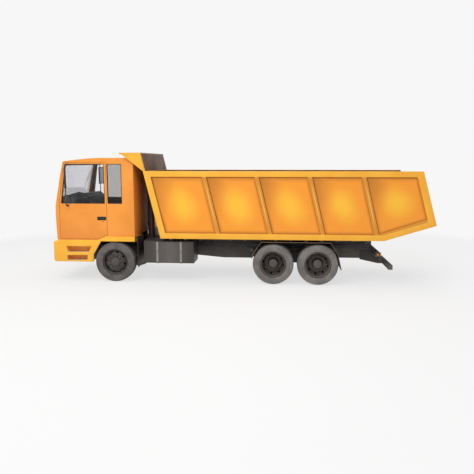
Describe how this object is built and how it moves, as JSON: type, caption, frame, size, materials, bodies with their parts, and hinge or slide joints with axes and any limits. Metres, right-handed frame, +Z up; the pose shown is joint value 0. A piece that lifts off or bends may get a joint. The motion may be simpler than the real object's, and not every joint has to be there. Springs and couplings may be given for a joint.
{
  "type": "dump truck",
  "caption": "Three-axle cab-over tipper truck with an upswept scow-ended body, canopy over the cab, opening doors, steering and a telescopic hoist.",
  "frame": {"origin": "on the ground under the middle of the truck's box", "axes": "+X forward, +Y to the truck's left, +Z up"},
  "size_m": [9.64, 2.95, 3.3121],
  "materials": {
    "body_paint": "semi_gloss",
    "bumper_paint": "semi_gloss",
    "chassis_paint": "matte",
    "engine_metal": "matte",
    "tank_steel": "satin",
    "black_plastic": "matte",
    "cab_lining": "matte",
    "lamp_clear": "gloss",
    "lamp_red": "gloss",
    "glass": "gloss",
    "seat_cloth": "matte",
    "tyre_rubber": "matte",
    "wheel_paint": "satin",
    "hoist_steel": "satin"
  },
  "bodies": {
    "chassis": {"battery_box": "tank_steel", "bumper": "bumper_paint", "cab_floor": "cab_lining", "cab_front_panel": "body_paint", "cab_glazing": "glass", "cab_rear_wall": "body_paint", "cab_roof": "body_paint", "cab_side_left": "body_paint", "cab_side_right": "body_paint", "dashboard": "black_plastic", "engine_and_gearbox": "engine_metal", "exhaust_silencer": "engine_metal", "front_axle": "chassis_paint", "fuel_tank": "tank_steel", "headlamps": "lamp_clear", "hydraulic_tank": "tank_steel", "ladder_frame": "chassis_paint", "leaf_springs": "chassis_paint", "mudguards": "black_plastic", "propshafts": "chassis_paint", "rear_axles": "chassis_paint", "rear_guard": "chassis_paint", "seat_cushions": "seat_cloth", "seat_frames": "black_plastic", "steering_wheel": "black_plastic", "tail_lamps": "lamp_red", "tipper_subframe": "chassis_paint"},
    "knuckle_left": {"knuckle_left": "chassis_paint"},
    "knuckle_right": {"knuckle_right": "chassis_paint"},
    "tie_rod": {"tie_rod": "chassis_paint"},
    "front_wheel_left": {"tyre_front_left": "tyre_rubber", "wheel_front_left": "wheel_paint"},
    "middle_wheels_left": {"tyres_middle_left": "tyre_rubber", "wheels_middle_left": "wheel_paint"},
    "rear_wheels_left": {"tyres_rear_left": "tyre_rubber", "wheels_rear_left": "wheel_paint"},
    "door_left": {"door_left": "body_paint", "door_glass_left": "glass", "mirror_left": "black_plastic"},
    "front_wheel_right": {"tyre_front_right": "tyre_rubber", "wheel_front_right": "wheel_paint"},
    "middle_wheels_right": {"tyres_middle_right": "tyre_rubber", "wheels_middle_right": "wheel_paint"},
    "rear_wheels_right": {"tyres_rear_right": "tyre_rubber", "wheels_rear_right": "wheel_paint"},
    "door_right": {"door_right": "body_paint", "door_glass_right": "glass", "mirror_right": "black_plastic"},
    "bed": {"bed_floor": "body_paint", "bed_runners": "body_paint", "bed_headboard": "body_paint", "bed_canopy": "body_paint", "bed_side_left": "body_paint", "bed_side_right": "body_paint"},
    "hoist_barrel": {"hoist_barrel": "hoist_steel"},
    "hoist_stage_1": {"hoist_stage_1": "hoist_steel"},
    "hoist_stage_2": {"hoist_stage_2": "hoist_steel"},
    "hoist_stage_3": {"hoist_stage_3": "hoist_steel"}
  },
  "joints": [
    {"name": "steer", "type": "hinge", "parent": "chassis", "child": "knuckle_left", "pos_m": [3.21, 0.93, 0.52], "axis": [0, 0, 1], "range_deg": [-35, 35]},
    {"name": "steer_right", "type": "hinge", "parent": "chassis", "child": "knuckle_right", "pos_m": [3.21, -0.93, 0.52], "axis": [0, 0, 1], "range_deg": [-35, 35]},
    {"name": "tie_rod_link", "type": "hinge", "parent": "knuckle_left", "child": "tie_rod", "pos_m": [3.04, 0.93, 0.42], "axis": [0, 0, 1], "range_deg": [-35, 35]},
    {"name": "front_left_wheel", "type": "hinge", "parent": "knuckle_left", "child": "front_wheel_left", "pos_m": [3.21, 1.085, 0.52], "axis": [0, 1, 0], "continuous": true},
    {"name": "front_right_wheel", "type": "hinge", "parent": "knuckle_right", "child": "front_wheel_right", "pos_m": [3.21, -1.085, 0.52], "axis": [0, 1, 0], "continuous": true},
    {"name": "middle_left_wheels", "type": "hinge", "parent": "chassis", "child": "middle_wheels_left", "pos_m": [-0.865, 1, 0.52], "axis": [0, 1, 0], "continuous": true},
    {"name": "middle_right_wheels", "type": "hinge", "parent": "chassis", "child": "middle_wheels_right", "pos_m": [-0.865, -1, 0.52], "axis": [0, 1, 0], "continuous": true},
    {"name": "rear_left_wheels", "type": "hinge", "parent": "chassis", "child": "rear_wheels_left", "pos_m": [-1.985, 1, 0.52], "axis": [0, 1, 0], "continuous": true},
    {"name": "rear_right_wheels", "type": "hinge", "parent": "chassis", "child": "rear_wheels_right", "pos_m": [-1.985, -1, 0.52], "axis": [0, 1, 0], "continuous": true},
    {"name": "door_left_hinge", "type": "hinge", "parent": "chassis", "child": "door_left", "pos_m": [4.64, 1.228, 2], "axis": [0, 0, -1], "range_deg": [0, 70]},
    {"name": "door_right_hinge", "type": "hinge", "parent": "chassis", "child": "door_right", "pos_m": [4.64, -1.228, 2], "axis": [0, 0, 1], "range_deg": [0, 70]},
    {"name": "bed_tip", "type": "hinge", "parent": "chassis", "child": "bed", "pos_m": [-3.33, 0, 0.94], "axis": [0, -1, 0], "range_deg": [0, 45]},
    {"name": "hoist_tilt", "type": "hinge", "parent": "chassis", "child": "hoist_barrel", "pos_m": [2.53, 0, 1], "axis": [0, -1, 0], "range_deg": [0, 29.89]},
    {"name": "hoist_slide_1", "type": "slide", "parent": "hoist_barrel", "child": "hoist_stage_1", "axis": [0.0108, 0, 0.9999], "range_m": [0, 1.4656]},
    {"name": "hoist_slide_2", "type": "slide", "parent": "hoist_stage_1", "child": "hoist_stage_2", "axis": [0.0108, 0, 0.9999], "range_m": [0, 1.4656]},
    {"name": "hoist_slide_3", "type": "slide", "parent": "hoist_stage_2", "child": "hoist_stage_3", "axis": [0.0108, 0, 0.9999], "range_m": [0, 1.4656]}
  ],
  "couplings": [
    {"joint": "steer_right", "follows": "steer", "ratio": 1},
    {"joint": "tie_rod_link", "follows": "steer", "ratio": -1},
    {"joint": "hoist_tilt", "follows": "bed_tip", "ratio": 0.66404},
    {"joint": "hoist_slide_1", "follows": "bed_tip", "m_per_rad": 1.8654},
    {"joint": "hoist_slide_2", "follows": "bed_tip", "m_per_rad": 1.8654},
    {"joint": "hoist_slide_3", "follows": "bed_tip", "m_per_rad": 1.8654}
  ]
}
